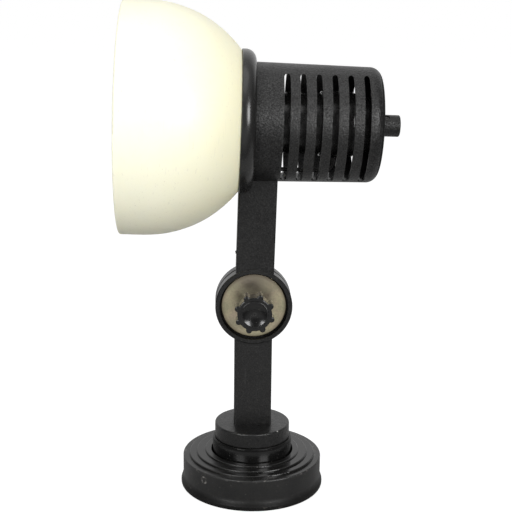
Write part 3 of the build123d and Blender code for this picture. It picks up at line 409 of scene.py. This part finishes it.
def pale_plastic(name, colour, rough, tint=0.05):
    """Nylon or PVC: even colour with flow marks, faint dirt and a fine moulded skin."""
    g = Graph(name)
    flow = g.noise(220, detail=3, at=g.stretched(1.0, 1.0, 0.35))
    fine = g.noise(2400, detail=2)
    dark = rgb(*(c * (1 - tint) for c in colour))
    dirty = rgb(colour[0] * 0.72, colour[1] * 0.68, colour[2] * 0.6)
    base = g.blend(g.spread(flow, 0.3, 0.7), dark, rgb(*colour))
    base = g.blend(dust(g, 0.8 * mm, 0.4), base, dirty)
    g.surface(Base_Color=base, Roughness=g.spread(flow, 0.3, 0.7, rough - 0.05, rough + 0.05),
              Normal=g.bump(fine, 0.2, 0.03 * mm))
    return g.material


def vulcan_fibre(name):
    """Red-brown pressed fibre with fine matted strands."""
    g = Graph(name)
    strands = g.noise(1600, detail=4, at=g.stretched(1.0, 1.0, 0.15, (0.3, 0.6, 0.2)))
    cross = g.noise(1400, detail=4, at=g.stretched(0.15, 1.0, 1.0, (0.1, 0.4, 0.8)))
    mat = g.math("MAXIMUM", strands, cross)
    base = g.blend(g.spread(mat, 0.45, 0.7), rgb(0.13, 0.045, 0.028), rgb(0.26, 0.11, 0.07))
    g.surface(Base_Color=base, Roughness=g.spread(mat, 0.4, 0.7, 0.6, 0.8),
              Normal=g.bump(mat, 0.5, 0.08 * mm))
    return g.material


# ---------------------------------------------------------------- metals
def bare_metal(name, colour, rough, mottle=0.12, stain=0.0):
    """Plated or plain metal with fine draw lines, mottled tone and darker stains."""
    g = Graph(name)
    lines = g.noise(900, detail=3, at=g.stretched(z=0.06))
    cloud = g.noise(160, detail=4)
    low = rgb(*(c * (1 - mottle) for c in colour))
    high = rgb(*(min(1.0, c * (1 + mottle)) for c in colour))
    tint = g.blend(g.spread(cloud, 0.35, 0.65), low, high)
    stained = g.spread(g.noise(75, detail=4, rough=0.65), 0.52, 0.70, 0.0, stain)
    tint = g.blend(stained, tint, rgb(colour[0] * 0.45, colour[1] * 0.38, colour[2] * 0.30))
    roughness = g.math("ADD", g.spread(lines, 0.3, 0.7, rough - 0.05, rough + 0.08),
                       g.math("MULTIPLY", stained, 0.2))
    g.surface(Base_Color=tint, Metallic=1.0, Roughness=roughness,
              Normal=g.bump(lines, 0.15, 0.04 * mm))
    return g.material


def yellow_zinc(name):
    """Yellow-passivated zinc on steel: khaki with pink and green clouds, a painted rim shadow and top shade."""
    g = Graph(name)
    x, _, z = g.parts()
    clouds = g.noise(85, detail=3, rough=0.55, distortion=0.6)
    second = g.noise(150, detail=2, distortion=0.4)
    base = g.blend(g.spread(clouds, 0.38, 0.62), rgb(0.66, 0.60, 0.40), rgb(0.72, 0.60, 0.44))
    base = g.blend(g.spread(second, 0.45, 0.68, 0.0, 0.6), base, rgb(0.62, 0.61, 0.40))
    # Painted shade: the plate is darker above the knob, broken up by the clouds.
    aside = g.math("ABSOLUTE", g.math("SUBTRACT", x, elbow.x))
    above = g.math("SUBTRACT", g.math("SUBTRACT", z, elbow.z), g.math("MULTIPLY", aside, 0.6))
    painted_top_shade = g.math("ADD", g.spread(above, -2 * mm, 12 * mm),
                     g.spread(clouds, 0.3, 0.7, -0.2, 0.2), clamp=True)
    base = g.blend(painted_top_shade, base, rgb(0.40, 0.35, 0.28))
    # Painted shadow round the plate's edge, where it sits in the cup.
    edge = g.spread(elbow_distance(g, x, z), PLATE_SHADOW_START, PLATE_SHADOW_FULL, 0.0, 0.75)
    base = g.blend(edge, base, rgb(0.16, 0.13, 0.09))
    grime = g.math("MULTIPLY", g.spread(second, 0.5, 0.7), 0.25)
    base = g.blend(grime, base, rgb(0.28, 0.24, 0.18))
    fleck = g.noise(1300, detail=3)
    base = g.blend(g.spread(fleck, 0.42, 0.66, 0.0, 0.35), base, rgb(0.36, 0.31, 0.22))
    lines = g.noise(1500, detail=2, at=g.stretched(0.08, 1.0, 1.0, (0.0, 0.5, 0.0)))
    g.surface(Base_Color=base, Metallic=1.0, Roughness=g.spread(second, 0.3, 0.7, 0.30, 0.40),
              Normal=g.bump(g.math("ADD", g.noise(60, detail=1), g.math("MULTIPLY", lines, 0.02)),
                            0.25, 0.12 * mm))
    return g.material


materials = {
    "black_canopy": canopy_black("canopy_black"),
    # The arm discs get painted gap shade within gap_shade_width of their middle plane.
    "black_satin": textured_black("arm_black", 0.005, 0.33, 0.7 * mm, 0.12 * mm, edge=0.1,
                                  edge_wear_and_sheen_tone=0.02, speckles=0.45, gap_shade_width=1.1 * mm),
    "black_textured": textured_black("housing_black", 0.004, 0.40, 0.75 * mm, 0.22 * mm,
                                     cloud=0.3, sparkle=0.22, inside=27 * mm),
    "black_gloss": polished_black("gloss_black", 0.004, 0.16),
    "black_knob": textured_black("knob_black", 0.004, 0.41, 0.8 * mm, 0.3 * mm, edge=0.4),
    "black_screw": fired_steel("blackened_steel"),
    "phenolic": polished_black("thermoset_black", 0.006, 0.16),
    "yellow_zinc": yellow_zinc("yellow_zinc"),
    "zinc_steel": bare_metal("zinc_sheet", (0.60, 0.60, 0.59), 0.34, mottle=0.18, stain=0.35),
    "steel": bare_metal("plated_steel", (0.58, 0.58, 0.57), 0.26, stain=0.15),
    "nickel": bare_metal("nickel", (0.70, 0.68, 0.63), 0.16, mottle=0.06),
    "brass": bare_metal("brass", (0.76, 0.56, 0.26), 0.26, stain=0.45),
    "white_nylon": pale_plastic("nylon", (0.74, 0.72, 0.66), 0.42),
    "fibre": vulcan_fibre("fibre"),
    "lead_sheath": pale_plastic("sheath", (0.020, 0.019, 0.018), 0.45),
    "black_glass": polished_black("vitrite", 0.012, 0.08),
    "opal": opal_plastic("opal"),
    "frosted_glass": frosted_glass("frosted"),
}
slot_of = {s["node"]: s["material_slot"] for s in frame["record"]["subparts"]}
for name, node in nodes.items():
    node.data.materials.clear()
    node.data.materials.append(materials[slot_of[name]])


# ---------------------------------------------------------------- a scrap of moulding flash
def flash_scrap(name, centre, size):
    """A small torn scrap of plastic left on a mould's parting line, as a closed lump."""
    rings, around = 7, 12
    mesh = bpy.data.meshes.new(name)
    form = bmesh.new()
    loops = []
    for i in range(1, rings):
        polar = math.pi * i / rings
        loop = []
        for j in range(around):
            turn = 2 * math.pi * j / around
            torn = 1 + 0.22 * math.sin(3 * turn + 1.7 * i) + 0.12 * math.sin(5 * turn - 0.9 * i)
            loop.append(form.verts.new(centre + Vector((
                size.x * torn * math.sin(polar) * math.cos(turn),
                size.y * torn * math.sin(polar) * math.sin(turn),
                size.z * math.cos(polar) * (1 + 0.15 * math.sin(2 * turn)),
            ))))
        loops.append(loop)
    for loop, after in zip(loops, loops[1:]):
        for j in range(around):
            k = (j + 1) % around
            form.faces.new((loop[j], after[j], after[k], loop[k]))
    form.faces.new(loops[0])
    form.faces.new(reversed(loops[-1]))
    bmesh.ops.recalc_face_normals(form, faces=form.faces)
    form.to_mesh(mesh)
    form.free()
    for face in mesh.polygons:
        face.use_smooth = True
    scrap = bpy.data.objects.new(name, mesh)
    bpy.context.scene.collection.objects.link(scrap)
    return scrap


scrap = flash_scrap("arm_flash_scrap", SCRAP_AT, SCRAP_SIZE)
scrap.data.materials.append(materials["black_satin"])
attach(scrap, "head")


# ---------------------------------------------------------------- floor and light
def radiant_panel(name, azimuth, height, distance, size, radiance, aim):
    """A soft rectangular light of the given radiance. Azimuth 0 is the camera's side."""
    turn = math.radians(azimuth)
    at = Vector((math.sin(turn) * distance, -math.cos(turn) * distance, height))
    data = bpy.data.lights.new(name, "AREA")
    data.shape = "RECTANGLE"
    data.size, data.size_y = size
    data.energy = radiance * math.pi * size[0] * size[1]
    light = bpy.data.objects.new(name, data)
    light.location = at
    light.rotation_mode = "QUATERNION"
    light.rotation_quaternion = (Vector(aim) - at).to_track_quat("-Z", "Y")
    bpy.context.scene.collection.objects.link(light)
    return light


middle = (0, 0, 0.13)
radiant_panel("left_box", -35, 0.50, 1.05, (0.46, 0.50), 11.0, middle)
radiant_panel("right_box", 33, 0.50, 1.05, (0.46, 0.50), 11.0, middle)
# A weak lamp low on the right, kept out of the reflections.
low_fill = radiant_panel("low_fill", 48, 0.04, 0.90, (0.50, 0.30), 2.6, (-0.04, 0.0, 0.19))
low_fill.visible_glossy = False
radiant_panel("top_box", -30, 1.25, 0.25, (1.0, 0.9), 1.0, middle)


def plane(name, low_x, high_x, low_y, high_y, z):
    """A flat rectangle in the XY plane."""
    mesh = bpy.data.meshes.new(name)
    form = bmesh.new()
    corners = [form.verts.new((x, y, z)) for x, y in
               ((low_x, low_y), (high_x, low_y), (high_x, high_y), (low_x, high_y))]
    form.faces.new(corners)
    form.to_mesh(mesh)
    form.free()
    sheet = bpy.data.objects.new(name, mesh)
    bpy.context.scene.collection.objects.link(sheet)
    return sheet


def paper(name, glow, tone):
    """White paper that is lit from behind by glow as well as by the lights."""
    g = Graph(name)
    fibres = g.blend(g.noise(30), grey(tone * 0.98), grey(tone))
    g.surface(Base_Color=fibres, Roughness=0.9, Specular_IOR_Level=0.0, Emission_Color=grey(1.0),
              Emission_Strength=glow)
    return g.material


# The camera's white floor, which lights nothing and is in no reflection.
floor = plane("floor", -40, 40, -40, 40, -0.4 * mm)
floor.data.materials.append(paper("floor_paper", 0.86, 0.30))
floor.visible_glossy = False
floor.visible_diffuse = False

# A bright sheet under the lamp and behind it, seen only in reflections and by bounce light.
sweep = plane("sweep", -0.5, 0.5, -0.16, 0.7, -0.6 * mm)
sweep.data.materials.append(paper("sweep_paper", 0.0, 0.85))
sweep.visible_camera = False
sweep.visible_shadow = False

# The room: pure white to the camera. As light it is bright behind the lamp, above it and low in
# front, and dim elsewhere.
world = bpy.data.worlds.new("studio")
bpy.context.scene.world = world
world.use_nodes = True
tree = world.node_tree
tree.nodes.clear()


def world_node(kind, **values):
    """Add a node; values go to its inputs by name, or link when they are sockets."""
    node = tree.nodes.new(kind)
    for key, value in values.items():
        if isinstance(value, bpy.types.NodeSocket):
            tree.links.new(value, node.inputs[key])
        else:
            node.inputs[key].default_value = value
    return node


def world_range(value, low, high, to_low, to_high):
    """Map value smoothly from low..high to to_low..to_high."""
    node = world_node("ShaderNodeMapRange")
    node.interpolation_type = "SMOOTHSTEP"
    tree.links.new(value, node.inputs["Value"])
    for key, v in (("From Min", low), ("From Max", high), ("To Min", to_low), ("To Max", to_high)):
        node.inputs[key].default_value = v
    return node.outputs[0]


def world_math(operation, a, b):
    """Combine two values."""
    node = tree.nodes.new("ShaderNodeMath")
    node.operation = operation
    tree.links.new(a, node.inputs[0])
    tree.links.new(b, node.inputs[1])
    return node.outputs[0]


direction = world_node("ShaderNodeTexCoord").outputs["Generated"]
toward = world_node("ShaderNodeSeparateXYZ", Vector=direction).outputs
back = world_range(toward[1], 0.10, 0.75, 0.10, 0.85)
above = world_range(toward[2], 0.45, 0.95, 0.10, 0.60)
ahead = world_range(toward[1], -0.97, -0.70, 0.50, 0.10)
table = world_range(toward[2], -0.10, 0.02, 1.0, 0.20)
front = world_math("MULTIPLY", ahead, table)
glow = world_math("MAXIMUM", world_math("MAXIMUM", back, above), front)
seen = world_node("ShaderNodeLightPath").outputs["Is Camera Ray"]
level = world_node("ShaderNodeMix", Factor=seen)
tree.links.new(glow, level.inputs["A"])
level.inputs["B"].default_value = 1.0
backdrop = world_node("ShaderNodeBackground", Color=grey(1.0), Strength=level.outputs[0])
world_node("ShaderNodeOutputWorld", Surface=backdrop.outputs[0])
